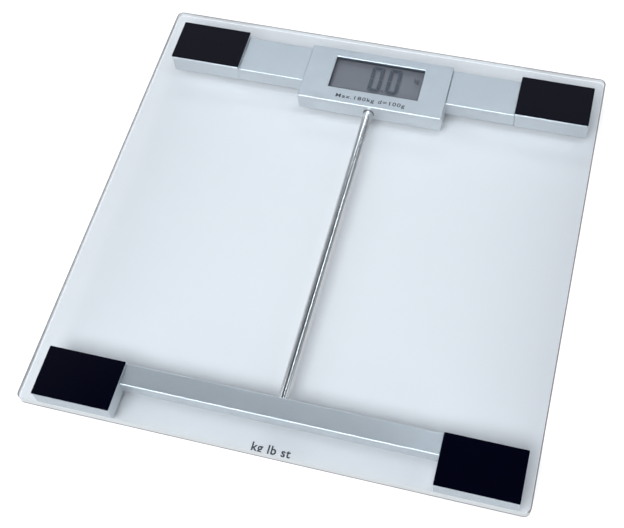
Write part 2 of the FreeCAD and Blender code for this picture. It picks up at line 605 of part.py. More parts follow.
def display_base():
    """Lower cover with the battery well, the hinge seats, the button hole and board posts."""
    hinge_y = "(coin_y + door_side / 2 - hinge_radius)"
    plate = box("base_plate", ("0", "display_y"),
                ("display_long - 2 * (display_wall + fit_gap)",
                 "display_deep - 2 * (display_wall + fit_gap)", "cover_thick"), "display_low")
    nest = box("base_nest", ("coin_x", "coin_y"),
               ("nest_side", "nest_side", "nest_top - display_low - cover_thick"),
               "display_low + cover_thick")
    posts = [rod(f"base_post_{index}", place, "post_radius", "display_low + cover_thick",
                 "board_low - display_low - cover_thick")
             for index, place in enumerate(BOARD_SCREWS)]
    recess = box("base_door_recess", ("coin_x", "coin_y"),
                 ("door_side + 2 * door_gap", "door_side + 2 * door_gap",
                  "door_thick + over + door_spare"), "display_low - over")
    well = rod("base_coin_well", ("coin_x", "coin_y"), "coin_radius + coin_gap", "display_low",
               "nest_top")
    groove = box("base_hinge_groove", ("coin_x", hinge_y),
                 ("door_side + 2 * door_gap", "2 * (hinge_radius + door_gap)",
                  "hinge_high + hinge_radius + door_gap - display_low + over"),
                 "display_low - over")
    pin_seat = rod("base_hinge_seat", (hinge_y, "hinge_high"), "hinge_pin_radius + hinge_pin_gap",
                   "coin_x - door_side / 2 - hinge_pin_long - door_gap",
                   "door_side + 2 * (hinge_pin_long + door_gap)", along="x")
    slot = box("base_contact_slot",
               ("coin_x - coin_radius - contact_thick / 2 - coin_gap / 2", "coin_y"),
               ("contact_thick + coin_gap + contact_gap", "contact_wide + 2 * contact_gap",
                "nest_top"), "coin_low")
    nail = box("base_nail_notch", ("coin_x", "coin_y - door_side / 2 - nail_shift"),
               ("nail_long", "nail_deep", "nail_tall"), "display_low")
    key_hole = rod("base_key_hole", ("key_x", "key_y"), "key_radius + key_hole_gap",
                   "display_low - over", "cover_thick + 2 * over")
    tools = [recess, well, groove, pin_seat, slot, nail, key_hole]
    for index, place in enumerate(display_screw_places()):
        tools.append(rod(f"base_sink_{index}", place, "screw_head_radius + screw_gap",
                         "display_low - over", "screw_head_thick + over"))
        tools.append(rod(f"base_hole_{index}", place, "screw_radius + screw_gap",
                         "display_low - over", "cover_thick + 2 * over"))
    for index, place in enumerate(BOARD_SCREWS):
        tools.append(rod(f"base_bore_{index}", place, "screw_radius",
                         "board_low - board_bore", "board_bore + over"))
    keep(cut("base", fuse("base_solid", plate, nest, *posts), *tools), "display_base")

    door = box("door_plate", ("coin_x", "coin_y - hinge_radius / 2"),
               ("door_side", "door_side - hinge_radius", "door_thick"), "display_low")
    barrel = rod("door_barrel", (hinge_y, "hinge_high"), "hinge_radius",
                 "coin_x - door_side / 2", "door_side", along="x")
    pins = rod("door_pins", (hinge_y, "hinge_high"), "hinge_pin_radius",
               "coin_x - door_side / 2 - hinge_pin_long", "door_side + 2 * hinge_pin_long",
               along="x")
    grips = [box(f"door_grip_{index}",
                 ("coin_x", f"coin_y - door_side / 2 + grip_first + {index} * grip_pitch"),
                 ("grip_long", "grip_wide", "grip_deep"), "display_low")
             for index in range(4)]
    keep(cut("door", fuse("door_solid", door, barrel, pins), *grips), "battery_door")


def electronics():
    """Panel, holder, contact strip, board and what is soldered to the board."""
    face = "(display_top - window_drop - lcd_gap)"
    keep(box("panel", ("0", "window_y"), ("lcd_long", "lcd_deep", "lcd_thick"),
             f"{face} - lcd_thick"), "lcd_panel")
    board_top = "(board_low + board_thick)"
    holder = box("holder_outer", ("0", "window_y"),
                 ("lcd_long + 2 * (holder_wall + fit_gap)",
                  "lcd_deep + 2 * (holder_wall + fit_gap)", f"{face} - holder_drop - {board_top}"),
                 board_top)
    inside = box("holder_inner", ("0", "window_y"),
                 ("lcd_long + 2 * fit_gap", "lcd_deep + 2 * fit_gap",
                  f"{face} - {board_top} + over"), f"{board_top} - over")
    keep(cut("holder", holder, inside), "lcd_holder")
    keep(box("strip", ("0", "window_y + lcd_deep / 2 - strip_inset"),
             ("strip_long", "strip_deep", f"{face} - lcd_thick - {board_top}"), board_top),
         "contact_strip")
    board = box("board_blank", ("0", "board_y"), ("board_long", "board_deep", "board_thick"),
                "board_low")
    holes = [rod(f"board_hole_{index}", place, "screw_radius + screw_gap", "board_low - over",
                 "board_thick + 2 * over")
             for index, place in enumerate(BOARD_SCREWS)]
    keep(cut("board", board, *holes), "circuit_board")
    drop = new_body("resin_drop")
    put(drop, "chip_x", "chip_y", 0)
    disc = circle(drop, "resin_outline", (0, 0), "chip_radius", "board_low - chip_tall")
    pad(drop, disc, "chip_tall")
    low = size("board_low") - size("chip_tall")
    dress(drop, "Fillet", edges_where(drop, at_height(low)), "chip_tall * 9 / 10")
    keep(drop, "controller_chip")
    keep(rod("sensor_can", ("sensor_x", "sensor_y"), "sensor_radius", "board_low - sensor_tall",
             "sensor_tall"), "tap_sensor")

    key = ("key_x", "key_y")
    case = box("switch_case", key, ("switch_side", "switch_side", "switch_tall"),
               "board_low - switch_tall")
    throat = rod("switch_throat", key, "plunger_radius + plunger_gap",
                 "board_low - switch_tall - over", "over + plunger_tall + plunger_spare")
    keep(cut("switch", case, throat), "unit_switch")
    cap = rod("key_cap", key, "key_radius", "key_low", "key_flange_low - key_low")
    flange = rod("key_flange", key, "key_flange_radius", "key_flange_low", "key_flange_thick")
    dish = doc.addObject("Part::Sphere", "key_dish")
    bind(dish, "Radius", "4 * key_radius")
    put(dish, *key, "key_low + key_dish - 4 * key_radius")
    keep(cut("key", fuse("key_solid", cap, flange), dish), "unit_button")
    keep(rod("plunger", key, "plunger_radius", "key_flange_low + key_flange_thick",
             "plunger_tall"), "switch_plunger")

    can = rod("coin_can", ("coin_x", "coin_y"), "coin_radius", "coin_low", "coin_thick")
    cap = rod("coin_cap", ("coin_x", "coin_y"), "coin_cap_radius", "coin_low + coin_thick",
              "coin_cap_thick")
    keep(fuse("coin", can, cap), "coin_cell")
    keep(box("leaf_minus", ("coin_x", "coin_y"), ("2 * contact_wide", "contact_wide",
             "board_low - coin_low - coin_thick - coin_cap_thick"),
             "coin_low + coin_thick + coin_cap_thick"), "battery_contact_minus")
    keep(box("leaf_plus", ("coin_x - coin_radius - contact_thick / 2", "coin_y"),
             ("contact_thick", "contact_wide", "board_low - coin_low - contact_foot"),
             "coin_low + contact_foot"),
         "battery_contact_plus")


# ---------------------------------------------------------------- the leads

def lead(label, points):
    """Round lead of one radius along straight runs that are joined by tangent arcs."""
    corners = [FreeCAD.Vector(*point) for point in points]
    edges = []
    start = corners[0]
    for before, corner, after in zip(corners, corners[1:], corners[2:]):
        into = (corner - before).normalize()
        out = (after - corner).normalize()
        half_turn = into.getAngle(out) / 2
        shorter = min((corner - before).Length, (after - corner).Length)
        radius = min(0.45 * shorter / math.tan(half_turn), size("lead_bend"))
        reach = radius * math.tan(half_turn)
        first = corner - into * reach
        last = corner + out * reach
        inward = (out - into).normalize()
        middle = corner + inward * (radius / math.cos(half_turn) - radius)
        edges.append(Part.LineSegment(start, first).toShape())
        edges.append(Part.Arc(first, middle, last).toShape())
        print(f"{label}: bend radius {radius:.1f} mm")
        start = last
    edges.append(Part.LineSegment(start, corners[-1]).toShape())
    path = Part.Wire(edges)
    ring = Part.Circle(corners[0], corners[1] - corners[0], size("lead_radius"))
    tube = path.makePipeShell([Part.Wire([ring.toShape()])], True, False)
    expected = math.pi * size("lead_radius") ** 2 * path.Length
    if abs(tube.Volume - expected) > 0.01 * expected:
        raise RuntimeError(f"{label}: volume {tube.Volume:.1f}, expected {expected:.1f}")
    print(f"{label}: length {path.Length:.0f} mm")
    piece = doc.addObject("Part::Feature", f"{label}_run")
    piece.Shape = tube
    piece.Placement = FreeCAD.Placement()
    keep(piece, label)


def leads():
    """Rear leads run through the rear bars, front leads through the front bar and the tube."""
    gauge_x = size("foot_x") - size("tongue_wide") / 2 - size("lead_start_x")
    gauge_y = size("foot_y") - size("lead_start_y")
    gauge_z = size("cell_low") + size("cell_thick") + size("lead_radius") + size("lead_clear")
    entry_x = size("foot_x") - size("foot_long") / 2
    line_y = size("lead_y")
    tube_z = size("tube_high")
    rear_z = tube_z - size("lead_sag")
    board_z = size("board_low") + size("board_thick") + size("lead_radius") + size("lead_rest")
    board_x = size("board_long") / 2
    board_front = size("board_y") - size("board_deep") / 2
    ramp = size("lead_ramp")
    front_y = -line_y - size("lead_swing")
    lead_x = size("lead_x")
    for side, across in SIDES.items():
        lead(f"sensor_lead_rear_{side}", [
            (across * gauge_x, gauge_y, gauge_z),
            (across * (entry_x + ramp), line_y, gauge_z),
            (across * (entry_x - ramp), line_y, rear_z),
            (across * (board_x + size("lead_climb_far")), line_y, rear_z),
            (across * (board_x + size("lead_climb_near")), line_y, board_z),
            (across * (board_x - size("lead_end")), line_y, board_z),
        ])
        lead(f"sensor_lead_front_{side}", [
            (across * gauge_x, -gauge_y, gauge_z),
            (across * (entry_x + ramp), -line_y, gauge_z),
            (across * (entry_x - ramp), front_y, tube_z),
            (across * lead_x, front_y, tube_z),
            (across * lead_x, board_front - size("lead_rise_far"), tube_z),
            (across * lead_x, board_front - size("lead_rise_near"), board_z),
            (across * lead_x, board_front + size("lead_stop"), board_z),
        ])


# ---------------------------------------------------------------- put it together

glass_platform()
gauges = []
cover_screws = []
for tag, (across, along) in CORNERS.items():
    gauge, screws = foot_station(tag, across, along)
    gauges.append(gauge)
    cover_screws.extend(screws)
keep(group("gauges", gauges), "strain_gauges")
keep(group("cover_screw_set", cover_screws), "cover_screws")
for side, across in SIDES.items():
    rear_bar(side, across)
front_bar()
cross_tube()
display_housing()
display_base()
electronics()
keep(group("base_screw_set", [screw(f"base_screw_{index}", x, y, "display_low", "screw_long")
     for index, (x, y) in enumerate(display_screw_places())]), "base_screws")
keep(group("board_screw_set", [screw(f"board_screw_{index}", x, y, "board_low + board_thick",
     "board_screw_long", head_down=False)
     for index, (x, y) in enumerate(BOARD_SCREWS)]), "board_screws")
leads()

doc.recompute()
for item in doc.Objects:
    if "Invalid" in item.State or "Error" in item.State:
        raise RuntimeError(f"{item.Name} failed: {item.State}")
for part in sub_parts:
    if part.Shape.isNull() or not part.Shape.isValid():
        raise RuntimeError(f"{part.Label} has no valid shape")
os.makedirs("parts", exist_ok=True)
for part in sub_parts:
    part.Shape.exportStep(f"parts/{part.Label}.step")
print(f"{len(sub_parts)} sub-parts written")
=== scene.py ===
# %% [markdown]
# # A glass bathroom scale
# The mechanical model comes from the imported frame: every node already sits in its place, in
# metres. This lesson gives each node its finish and replaces the few nodes that need finer
# surfaces than a mechanical model has: the glass, the chromed tube, the pads, the rubber
# feet and the display. It adds the prints too. Every position below is worked out from the
# boxes of the nodes.

import json
import math

import bpy
import numpy as np
from mathutils import Matrix, Vector


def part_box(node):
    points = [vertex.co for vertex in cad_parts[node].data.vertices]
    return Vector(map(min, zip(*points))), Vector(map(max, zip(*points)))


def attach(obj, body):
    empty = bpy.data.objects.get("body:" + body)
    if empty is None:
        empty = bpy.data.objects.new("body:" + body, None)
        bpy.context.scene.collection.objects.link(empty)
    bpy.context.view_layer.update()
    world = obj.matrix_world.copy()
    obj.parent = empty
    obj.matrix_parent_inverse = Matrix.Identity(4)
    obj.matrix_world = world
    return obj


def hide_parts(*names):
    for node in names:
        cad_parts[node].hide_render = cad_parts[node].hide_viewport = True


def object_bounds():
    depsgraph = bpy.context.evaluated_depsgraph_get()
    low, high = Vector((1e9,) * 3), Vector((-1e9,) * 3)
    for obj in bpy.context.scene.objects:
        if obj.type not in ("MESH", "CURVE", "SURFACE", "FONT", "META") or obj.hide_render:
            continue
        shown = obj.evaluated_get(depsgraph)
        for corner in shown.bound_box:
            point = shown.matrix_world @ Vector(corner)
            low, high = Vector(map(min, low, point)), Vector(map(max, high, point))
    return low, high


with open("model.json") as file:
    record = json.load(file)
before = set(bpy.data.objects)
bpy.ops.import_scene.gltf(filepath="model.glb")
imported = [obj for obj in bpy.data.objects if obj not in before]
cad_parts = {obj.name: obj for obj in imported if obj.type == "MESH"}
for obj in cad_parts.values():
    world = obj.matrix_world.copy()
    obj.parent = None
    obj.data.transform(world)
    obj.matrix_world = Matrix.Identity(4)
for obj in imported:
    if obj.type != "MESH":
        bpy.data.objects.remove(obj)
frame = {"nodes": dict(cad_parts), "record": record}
cad_low, cad_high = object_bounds()
MM = 0.001

# %% [markdown]
# ## Camera
# The camera stands in front of the scale, a little to its right, and looks down at it. It is
# described by where it is, which way it faces, how far it leans, and its lens. A small shift
# of the lens moves the picture without turning the camera.

# %% Camera
deck = Vector(((cad_low.x + cad_high.x) / 2, (cad_low.y + cad_high.y) / 2, cad_high.z))


def aim_camera(place, azimuth, elevation, lean, lens, shift):
    """Camera at deck + place. Azimuth turns it left from +Y, elevation points it down, and lean
    rolls it about its own line of sight; all in degrees."""
    data = bpy.data.cameras.new("camera")
    data.sensor_width = 36.0
    data.lens = lens
    data.shift_x, data.shift_y = shift
    data.clip_start, data.clip_end = 0.05, 20.0
    camera = bpy.data.objects.new("camera", data)
    bpy.context.scene.collection.objects.link(camera)
    turn = Matrix.Rotation(math.radians(azimuth), 4, "Z")
    tip = Matrix.Rotation(math.radians(90 - elevation), 4, "X")
    roll = Matrix.Rotation(math.radians(lean), 4, "Z")
    camera.matrix_world = Matrix.Translation(deck + place) @ turn @ tip @ roll
    bpy.context.scene.camera = camera
    return camera


camera = aim_camera(place=Vector((0.1312, -0.3442, 0.6083)), azimuth=19.64, elevation=58.77,
                    lean=-6.2, lens=66.1, shift=(-0.0495, -0.0607))
print("camera at", [round(v, 3) for v in camera.matrix_world.translation])

# %% [markdown]
# ## Studio
# The scale stands on a white sweep under soft boxes. The floor is a large white sheet.
# It is white from above only, so that the underside can be looked at through it. The lamps
# stand where the flat glass doesn't mirror them towards the camera: in front, at the left
# and right, and one slim strip at the back that draws the bright line along the tube.

# %% Floor
def plain_mesh(name, points, faces):
    """Mesh object from a list of points and faces, linked to the scene."""
    mesh = bpy.data.meshes.new(name)
    mesh.from_pydata([tuple(p) for p in points], [], [tuple(int(i) for i in f) for f in faces])
    mesh.update()
    piece = bpy.data.objects.new(name, mesh)
    bpy.context.scene.collection.objects.link(piece)
    return piece


reach = 6.0
floor = plain_mesh("floor", [(-reach, -reach, 0), (reach, -reach, 0), (reach, reach, 0),
                             (-reach, reach, 0)], [(0, 1, 2, 3)])
print("floor side m:", 2 * reach)

# %% [markdown]
# A finish is a small network of nodes. Written out, such a network hides its own sums, so
# two small classes let a finish be written as ordinary arithmetic.

# %% Shader maths
class Signal:
    """A node's output that can be used in Python expressions. Each operator adds one Math node
    that computes the same thing for every point of the surface."""

    def __init__(self, finish, socket):
        self.finish = finish
        self.socket = socket

    def maths(self, operation, *values):
        return self.finish.maths(operation, *values)

    def __add__(self, other):
        return self.maths("ADD", self, other)

    def __radd__(self, other):
        return self.maths("ADD", other, self)

    def __sub__(self, other):
        return self.maths("SUBTRACT", self, other)

    def __rsub__(self, other):
        return self.maths("SUBTRACT", other, self)

    def __mul__(self, other):
        return self.maths("MULTIPLY", self, other)

    def __abs__(self):
        return self.maths("ABSOLUTE", self)

    def above(self, level):
        """1 where the value is greater than level, else 0."""
        return self.maths("GREATER_THAN", self, level)

    def most(self, other):
        return self.maths("MAXIMUM", self, other)


class Finish:
    """A material whose nodes are added one by one."""

    def __init__(self, name):
        self.material = bpy.data.materials.new(name)
        self.material.use_nodes = True
        self.tree = self.material.node_tree
        self.tree.nodes.clear()

    def node(self, kind, settings=None, values=None, out=0):
        """Adds a node: its settings first, then its input values or links, given as a dict by
        socket name or as a list by place. Returns the output named by out."""
        made = self.tree.nodes.new(kind)
        for key, value in (settings or {}).items():
            if key == "ramp":
                self.set_ramp(made.color_ramp, value)
            else:
                setattr(made, key, value)
        pairs = values.items() if isinstance(values, dict) else enumerate(values or [])
        for key, value in pairs:
            if isinstance(value, Signal):
                self.tree.links.new(value.socket, made.inputs[key])
            else:
                made.inputs[key].default_value = value
        return Signal(self, made.outputs[out]) if made.outputs else None

    @staticmethod
    def set_ramp(ramp, stops):
        """Stops are (position, colour) pairs."""
        while len(ramp.elements) > 1:
            ramp.elements.remove(ramp.elements[-1])
        ramp.elements[0].position, ramp.elements[0].color = stops[0][0], (*stops[0][1], 1)
        for position, colour in stops[1:]:
            ramp.elements.new(position).color = (*colour, 1)

    def maths(self, operation, *values):
        return self.node("ShaderNodeMath", {"operation": operation}, list(values))

    def place(self):
        """Object coordinates, in metres: the same frame as the model."""
        return self.node("ShaderNodeTexCoord", out="Object")

    def split(self, vector):
        """The vector's x, y and z."""
        parts = self.node("ShaderNodeSeparateXYZ", values=[vector])
        return [Signal(self, parts.socket.node.outputs[i]) for i in range(3)]

    def noise(self, grain, detail=2.0, rough=0.5, vector=None):
        """Soft noise from 0 to 1 whose blobs are about grain metres wide."""
        return self.node("ShaderNodeTexNoise",
                         values={"Vector": vector or self.place(), "Scale": 1 / grain,
                                 "Detail": detail, "Roughness": rough})

    def mix(self, share, first, second):
        """Colour between first (share 0) and second (share 1)."""
        ends = [(*c, 1) if isinstance(c, tuple) and len(c) == 3 else c for c in (first, second)]
        made = self.tree.nodes.new("ShaderNodeMix")
        made.data_type = "RGBA"
        for socket, value in zip((made.inputs[0], made.inputs[6], made.inputs[7]), (share, *ends)):
            if isinstance(value, Signal):
                self.tree.links.new(value.socket, socket)
            else:
                socket.default_value = value
        return Signal(self, made.outputs[2])

    def bump(self, height, depth, strength=1.0):
        """Normal that leans with height (0 to 1), for a relief of depth metres."""
        return self.node("ShaderNodeBump", values={"Strength": strength, "Distance": depth,
                                                   "Height": height}, out="Normal")

    def skin(self, **sockets):
        """Principled shader. An underscore in a name stands for a space."""
        named = {key.replace("_", " "): value for key, value in sockets.items()}
        for key, value in named.items():
            if isinstance(value, tuple) and len(value) == 3:
                named[key] = (*value, 1)
        return self.node("ShaderNodeBsdfPrincipled", values=named)

    def finish(self, shader):
        """Sends a shader to the surface and returns the material."""
        self.node("ShaderNodeOutputMaterial", values={"Surface": shader})
        return self.material


def paint(material, *pieces):
    """Gives pieces a material in every slot."""
    for piece in pieces:
        if not piece.data.materials:
            piece.data.materials.append(material)
        for index in range(len(piece.data.materials)):
            piece.data.materials[index] = material


print("shader maths ready")

# %% [markdown]
# The floor's paper is nearly even, with only the faint grain that real paper has.

# %% Floor paper
def floor_paper():
    """White paper from above; from below it isn't there. A soft grain keeps it from looking
    like plain white."""
    made = Finish("floor_paper")
    grain = made.noise(3 * MM, 3.0)
    white = made.skin(Base_Color=made.mix(grain, (0.925, 0.925, 0.93), (0.945, 0.945, 0.945)),
                      Roughness=0.9, Specular_IOR_Level=0.1)
    clear = made.node("ShaderNodeBsdfTransparent")
    back = made.node("ShaderNodeNewGeometry", out="Backfacing")
    return made.finish(made.node("ShaderNodeMixShader", values=[back, white, clear]))


paint(floor_paper(), floor)
print("floor:", floor.data.materials[0].name)

# %% [markdown]
# The sky is darkest overhead, because a studio's ceiling is, and the glass mirrors just that
# part of it. Lower down it's brighter, which lights the sides of the housings.

# %% Sky and lamps
def studio_sky(stops):
    """World light that changes with height only. Each stop is the sine of the elevation, from
    -1 to 1, and a colour."""
    world = bpy.data.worlds.new("studio")
    bpy.context.scene.world = world
    world.use_nodes = True
    tree = world.node_tree
    tree.nodes.clear()
    place = tree.nodes.new("ShaderNodeTexCoord")
    parts = tree.nodes.new("ShaderNodeSeparateXYZ")
    level = tree.nodes.new("ShaderNodeMapRange")
    level.inputs["From Min"].default_value = -1
    ramp = tree.nodes.new("ShaderNodeValToRGB")
    Finish.set_ramp(ramp.color_ramp, [((sine + 1) / 2, colour) for sine, colour in stops])
    light = tree.nodes.new("ShaderNodeBackground")
    out = tree.nodes.new("ShaderNodeOutputWorld")
    for source, target in ((place.outputs["Generated"], parts.inputs[0]),
                           (parts.outputs["Z"], level.inputs["Value"]),
                           (level.outputs["Result"], ramp.inputs["Fac"]),
                           (ramp.outputs["Color"], light.inputs["Color"]),
                           (light.outputs["Background"], out.inputs["Surface"])):
        tree.links.new(source, target)


def soft_box(name, place, sides, watts, aim=None, turn=0):
    """Rectangular lamp at deck + place that faces aim, or the middle of the glass, and is turned
    by some degrees about the direction it faces."""
    data = bpy.data.lights.new(name, "AREA")
    data.shape = "RECTANGLE"
    data.size, data.size_y = sides
    data.energy = watts
    lamp = bpy.data.objects.new(name, data)
    bpy.context.scene.collection.objects.link(lamp)
    at = deck + Vector(place)
    facing = (deck - at) if aim is None else Vector(aim)
    faced = facing.to_track_quat("-Z", "Y").to_matrix().to_4x4()
    turned = Matrix.Rotation(math.radians(turn), 4, "Z")
    lamp.matrix_world = Matrix.Translation(at) @ faced @ turned
    return lamp


studio_sky([(-1.0, (0.50, 0.51, 0.53)), (-0.05, (0.31, 0.315, 0.325)),
            (0.70, (0.28, 0.285, 0.30)), (0.80, (0.20, 0.205, 0.23)), (0.90, (0.0, 0.0, 0.01)),
            (1.0, (0.0, 0.0, 0.0))])
soft_box("box_key", (-0.30, -1.25, 1.65), (1.5, 0.95), 44.5)
soft_box("box_left", (-1.9, -0.1, 1.4), (1.2, 1.2), 12)
soft_box("box_right", (1.9, -0.1, 1.4), (1.2, 1.2), 9)
soft_box("box_rear", (-0.35, 1.80, 1.45), (1.6, 0.5), 11.5)
soft_box("strip_tube", (0.40, 0.70, 1.4), (0.11, 1.15), 4.5, aim=(0, 0, -1), turn=-17)
bpy.context.scene.view_settings.view_transform = "Standard"

# %% [markdown]
# ## Clear tempered glass
# Glass bends the view of what lies under it, so it is real refraction with a polished
# surface. Lamps couldn't reach the floor through such glass in reasonable time, so rays
# that look for a lamp, and rays that carry scattered light, meet a faintly tinted clear film
# instead. The tint deepens towards the rim as painted shade on the floor seen through the
# glass. The rim is ground, so it's a matte grey beside the polished faces; painted shade
# darkens its edges, and painted light makes it pale where it's seen from inside the glass.

# %% Glass
glass_low, glass_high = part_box("glass_platform")
glass_corner = 4 * MM
rim_width = 0.75 * MM
rear_side = 1.2 * MM
# Widths of the painted shade: dark bands along the rim's upper edges and its lower front edge.
upper_shade_band, lower_shade_band = 0.35 * MM, 1.7 * MM


def clear_glass(name, middle_tint, rim_shade_tint, film, low, high, corner):
    """Refraction for the eye and a tinted film for light. The tint grows towards the rim with
    the fourth power of the larger of |x| and |y|, as painted shade on the floor seen through
    the glass. The rim itself is ground: a matte grey with painted shade along its lower front
    edge and along its other upper edges, a front face painted a little lighter than the other
    sides, and painted light that makes it pale where it is seen from inside the glass. The
    rim's mask follows the rounded outline, because it measures how far a point lies from the
    corner centres."""
    made = Finish(name)
    x, y, z = made.split(made.place())
    reach = abs(x).most(abs(y))
    # This mask deepens the tint towards the rim: painted shade on the floor seen through the
    # glass.
    rim_shade = made.maths("POWER", reach * (1 / high.x), 4.0)
    smear = made.noise(45 * MM, 3.0)
    see = made.skin(Base_Color=made.mix(rim_shade, middle_tint, rim_shade_tint), Roughness=smear * 0.012,
                    IOR=1.5, Transmission_Weight=1.0,
                    Normal=made.bump(made.noise(60 * MM, 1.0), 0.01 * MM, 0.2))
    behind = y.above(low.y + rear_side)
    # Painted shade: a dark band along the top of the rear and side faces, and one along the bottom
    # of the front face.
    upper_shade = z.above(high.z - upper_shade_band) * behind
    lower = (1 - z.above(low.z + lower_shade_band)) * (1 - behind)
    grit = made.noise(0.5 * MM, 3.0)
    # The front face of the rim is painted a little lighter than the other sides: painted light.
    tone = made.mix(grit * 0.3 + (1 - behind) * 0.5, (0.42, 0.45, 0.465), (0.50, 0.53, 0.55))
    # Seen from inside the glass, the rim is painted pale: painted light where it would otherwise
    # lie in shade.
    inside_painted_light = made.node("ShaderNodeNewGeometry", out="Backfacing")
    tone = made.mix(inside_painted_light, tone, (0.93, 0.95, 0.96))
    # The dark colour here is the painted shade along the rim's edges.
    ground = made.skin(Base_Color=made.mix(upper_shade.most(lower), tone, (0.15, 0.145, 0.15)),
                       Roughness=0.5 + grit * 0.2, Specular_IOR_Level=0.3,
                       Normal=made.bump(grit, 0.02 * MM, 0.4))
    past_x = (abs(x) - (high.x - corner)).most(0)
    past_y = (abs(y) - (high.y - corner)).most(0)
    rim = made.maths("SQRT", past_x * past_x + past_y * past_y).above(corner - rim_width)
    plate = made.node("ShaderNodeMixShader", values=[rim, see, ground])
    clear = made.node("ShaderNodeBsdfTransparent", values=[(*film, 1)])
    shadow = made.node("ShaderNodeLightPath", out="Is Shadow Ray")
    scattered = made.node("ShaderNodeLightPath", out="Is Diffuse Ray")
    inner = made.node("ShaderNodeMixShader", values=[scattered, plate, clear])
    return made.finish(made.node("ShaderNodeMixShader", values=[shadow, inner, clear]))


nodes = frame["nodes"]
# The second, darker tint is painted shade towards the rim of the plate.
plate_glass = clear_glass("clear_glass", (0.81, 0.865, 0.905), (0.63, 0.675, 0.715),
                          (0.88, 0.885, 0.895), glass_low, glass_high, glass_corner)
paint(plate_glass, nodes["glass_platform"])
print("rim width mm:", round(rim_width * 1000, 2))

# %% [markdown]
# ## Finishes
# Each finish is a base colour with a fine speckle and a slow drift, and a relief made from
# the same speckle: moulded plastic, rubber and metal are never quite even. The silver paint
# has its own recipe, because its flakes also change how sharply it shines.

# %% Silver paint
def silver_paint():
    """Two close silvers mixed by flake noise, with a slow drift across each moulding."""
    made = Finish("silver_paint")
    flakes = made.noise(0.30 * MM, 1.0)
    drift = made.noise(30 * MM, 1.0)
    colour = made.mix(flakes * 0.6 + drift * 0.4, (0.60, 0.63, 0.65), (0.71, 0.74, 0.76))
    return made.finish(made.skin(Base_Color=colour, Metallic=0.72, Roughness=0.31 + flakes * 0.08,
                                 Coat_Weight=0.04, Coat_Roughness=0.15,
                                 Normal=made.bump(flakes, 0.01 * MM, 0.3)))


silver = silver_paint()
silver_nodes = ["display_housing", "front_bar", "rear_bar_left", "rear_bar_right"]
silver_nodes += [name for name in nodes if name.startswith("foot_housing")]
paint(silver, *[nodes[name] for name in silver_nodes])
print("silver:", len(silver_nodes))

# %% [markdown]
# Everything else but the chrome shares one recipe, with its own colour, grain and relief.

# %% Plain plastics, rubber and metals
def grained(name, colour, spread, rough, grain, depth, metallic=0.0, shine=0.5):
    """Surface with one colour that varies by spread, and a relief of depth metres whose grains
    are grain metres wide. Shine is how much it mirrors: 0.5 is plain plastic."""
    made = Finish(name)
    speck = made.noise(grain, 3.0)
    cloud = made.noise(12 * MM, 2.0)
    dark = tuple(c * (1 - spread) for c in colour)
    light = tuple(min(1.0, c * (1 + spread)) for c in colour)
    tone = made.mix(speck * 0.5 + cloud * 0.5, dark, light)
    return made.finish(made.skin(Base_Color=tone, Metallic=metallic, Specular_IOR_Level=shine,
                                 Roughness=rough + (speck - 0.5) * 0.12,
                                 Normal=made.bump(speck, depth, 0.5)))


plastics = {
    "grey_plastic": ((0.40, 0.42, 0.44), 0.06, 0.5, 0.5 * MM, 0.03 * MM),
    "white_plastic": ((0.72, 0.72, 0.70), 0.04, 0.45, 0.6 * MM, 0.02 * MM),
    "button_plastic": ((0.10, 0.11, 0.12), 0.08, 0.4, 0.4 * MM, 0.01 * MM),
    "black_plastic": ((0.02, 0.02, 0.022), 0.1, 0.45, 0.4 * MM, 0.01 * MM),
    "foot_rubber": ((0.045, 0.045, 0.05), 0.15, 0.8, 0.7 * MM, 0.03 * MM),
    "strip_rubber": ((0.50, 0.32, 0.42), 0.05, 0.6, 0.5 * MM, 0.01 * MM),
    "lead_jacket": ((0.45, 0.04, 0.03), 0.1, 0.45, 0.8 * MM, 0.01 * MM),
    "gauge_film": ((0.62, 0.40, 0.12), 0.1, 0.35, 0.3 * MM, 0.01 * MM),
    "board_green": ((0.02, 0.16, 0.06), 0.2, 0.3, 1.2 * MM, 0.02 * MM),
    "lcd_face": ((0.205, 0.21, 0.235), 0.03, 0.45, 0.35 * MM, 0.004 * MM),
    "lcd_segment": ((0.065, 0.083, 0.105), 0.1, 0.5, 0.3 * MM, 0.001 * MM),
    # The window mask colour is the dark of the ring that paints shade in the display window's
    # recess.
    "window_mask": ((0.05, 0.065, 0.085), 0.1, 0.5, 0.3 * MM, 0.002 * MM),
    "dark_print": ((0.035, 0.04, 0.05), 0.1, 0.5, 0.2 * MM, 0.001 * MM),
}
metals = {
    "spring_steel": ((0.56, 0.56, 0.55), 0.05, 0.32, 0.4 * MM, 0.005 * MM),
    "screw_steel": ((0.52, 0.52, 0.52), 0.06, 0.3, 0.3 * MM, 0.005 * MM),
    "nickel_plate": ((0.66, 0.64, 0.60), 0.04, 0.25, 0.5 * MM, 0.003 * MM),
}
finishes = {name: grained(name, *recipe) for name, recipe in plastics.items()}
finishes["black_adhesive"] = grained("black_adhesive", (0.0012, 0.0014, 0.006), 0.3, 0.5,
                                     0.6 * MM, 0.01 * MM, shine=0.0)
finishes.update({name: grained(name, *recipe, metallic=1.0) for name, recipe in metals.items()})
slot_of = {row["node"]: row["material_slot"] for row in frame["record"]["subparts"]}
for name, node in nodes.items():
    if slot_of[name] in finishes:
        paint(finishes[slot_of[name]], node)
print("finishes:", len(finishes))

# %% [markdown]
# A tube is drawn through a die, which leaves faint lines along it under the chrome.

